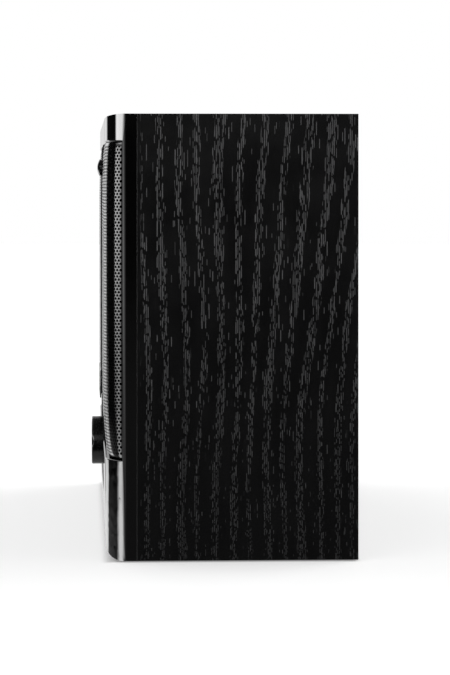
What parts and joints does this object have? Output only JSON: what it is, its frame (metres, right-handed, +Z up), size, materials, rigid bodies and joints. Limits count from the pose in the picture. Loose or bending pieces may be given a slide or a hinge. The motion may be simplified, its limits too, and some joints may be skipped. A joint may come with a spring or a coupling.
{
  "type": "digital audio player",
  "caption": "Table-top digital audio player: black wood cabinet, glossy wrap-round bezel, perforated side grilles, centre column with display window, keys, standby button and push knob.",
  "frame": {"origin": "centre of the bounding box, on the plane that the feet stand on", "axes": "+Z up, the front faces -Y, +X is the object's right-hand side seen from the front"},
  "size_m": [0.3, 0.1186, 0.2],
  "materials": {
    "wood_veneer": "black ash veneer, open grain, satin lacquer",
    "fibreboard": "raw board",
    "gloss_black": "polished",
    "black_plastic": "fine texture",
    "knob_black": "satin gloss",
    "key_black": "satin",
    "grille_metal": "satin black paint",
    "smoked_lens": "polished",
    "display": "polished",
    "circuit_board": "solder mask",
    "component_black": "moulded",
    "switch_metal": "stamped",
    "steel": "zinc plated",
    "black_steel": "black oxide",
    "brass": "turned",
    "heatsink": "extruded",
    "driver_frame": "satin",
    "surround_rubber": "moulded",
    "cone_paper": "pressed paper",
    "dust_cap": "satin",
    "coil_copper": "enamelled wire",
    "spider_cloth": "impregnated cloth",
    "ferrite": "sintered",
    "rubber_feet": "matt"
  },
  "bodies": {
    "root": {"cabinet_left_panel": "wood_veneer", "cabinet_right_panel": "wood_veneer", "cabinet_top_panel": "wood_veneer", "cabinet_bottom_panel": "wood_veneer", "corner_blocks": "fibreboard", "front_baffle": "fibreboard", "partition_left": "fibreboard", "partition_right": "fibreboard", "cabinet_screws": "black_steel", "driver_screws": "black_steel", "board_screws": "steel", "feet": "rubber_feet", "front_bezel": "gloss_black", "centre_fascia": "gloss_black", "grille_left": "grille_metal", "grille_right": "grille_metal", "display_lens": "smoked_lens", "display_module": "display", "front_board": "circuit_board", "main_board": "circuit_board", "tact_switches": "switch_metal", "encoder_body": "switch_metal", "encoder_nut": "steel", "rear_panel": "black_plastic", "aux_jack": "black_plastic", "headphone_jack": "black_plastic", "usb_port": "steel", "dc_jack": "black_plastic", "rocker_frame": "black_plastic", "board_components": "component_black", "amp_heatsink": "heatsink", "board_standoffs": "brass", "driver_basket_left": "driver_frame", "driver_surround_left": "surround_rubber", "driver_spider_left": "spider_cloth", "driver_magnet_left": "ferrite", "driver_basket_right": "driver_frame", "driver_surround_right": "surround_rubber", "driver_spider_right": "spider_cloth", "driver_magnet_right": "ferrite"},
    "standby_button": {"standby_button": "gloss_black"},
    "encoder_rotor": {"encoder_rotor": "black_plastic"},
    "knob": {"knob": "knob_black", "encoder_shaft": "steel"},
    "power_rocker": {"power_rocker": "gloss_black"},
    "key_upper_left": {"key_upper_left": "key_black"},
    "key_upper_centre": {"key_upper_centre": "key_black"},
    "key_upper_right": {"key_upper_right": "key_black"},
    "key_lower_left": {"key_lower_left": "key_black"},
    "key_lower_centre": {"key_lower_centre": "key_black"},
    "key_lower_right": {"key_lower_right": "key_black"},
    "moving_cone_left": {"driver_cone_left": "cone_paper", "dust_cap_left": "dust_cap", "voice_coil_left": "coil_copper"},
    "moving_cone_right": {"driver_cone_right": "cone_paper", "dust_cap_right": "dust_cap", "voice_coil_right": "coil_copper"}
  },
  "joints": [
    {"name": "knob_turn", "type": "hinge", "parent": "root", "child": "encoder_rotor", "pos_m": [0, -0.045, 0.0394], "axis": [0, 1, 0], "continuous": true},
    {"name": "knob_push", "type": "slide", "parent": "encoder_rotor", "child": "knob", "axis": [0, 1, 0], "range_m": [0, 0.0005], "stiffness_N_per_m": 1200},
    {"name": "standby_press", "type": "slide", "parent": "root", "child": "standby_button", "axis": [0, 1, 0], "range_m": [0, 0.0006], "stiffness_N_per_m": 800},
    {"name": "key_upper_left_press", "type": "slide", "parent": "root", "child": "key_upper_left", "axis": [0, 1, 0], "range_m": [0, 0.0006], "stiffness_N_per_m": 800},
    {"name": "key_upper_centre_press", "type": "slide", "parent": "root", "child": "key_upper_centre", "axis": [0, 1, 0], "range_m": [0, 0.0006], "stiffness_N_per_m": 800},
    {"name": "key_upper_right_press", "type": "slide", "parent": "root", "child": "key_upper_right", "axis": [0, 1, 0], "range_m": [0, 0.0006], "stiffness_N_per_m": 800},
    {"name": "key_lower_left_press", "type": "slide", "parent": "root", "child": "key_lower_left", "axis": [0, 1, 0], "range_m": [0, 0.0006], "stiffness_N_per_m": 800},
    {"name": "key_lower_centre_press", "type": "slide", "parent": "root", "child": "key_lower_centre", "axis": [0, 1, 0], "range_m": [0, 0.0006], "stiffness_N_per_m": 800},
    {"name": "key_lower_right_press", "type": "slide", "parent": "root", "child": "key_lower_right", "axis": [0, 1, 0], "range_m": [0, 0.0006], "stiffness_N_per_m": 800},
    {"name": "power_rock", "type": "hinge", "parent": "root", "child": "power_rocker", "pos_m": [0.03, 0.0547, 0.074], "axis": [-1, 0, 0], "range_deg": [0, 16]},
    {"name": "cone_left_travel", "type": "slide", "parent": "root", "child": "moving_cone_left", "axis": [0, 1, 0], "range_m": [-0.0015, 0.0015], "stiffness_N_per_m": 1500},
    {"name": "cone_right_travel", "type": "slide", "parent": "root", "child": "moving_cone_right", "axis": [0, 1, 0], "range_m": [-0.0015, 0.0015], "stiffness_N_per_m": 1500}
  ]
}
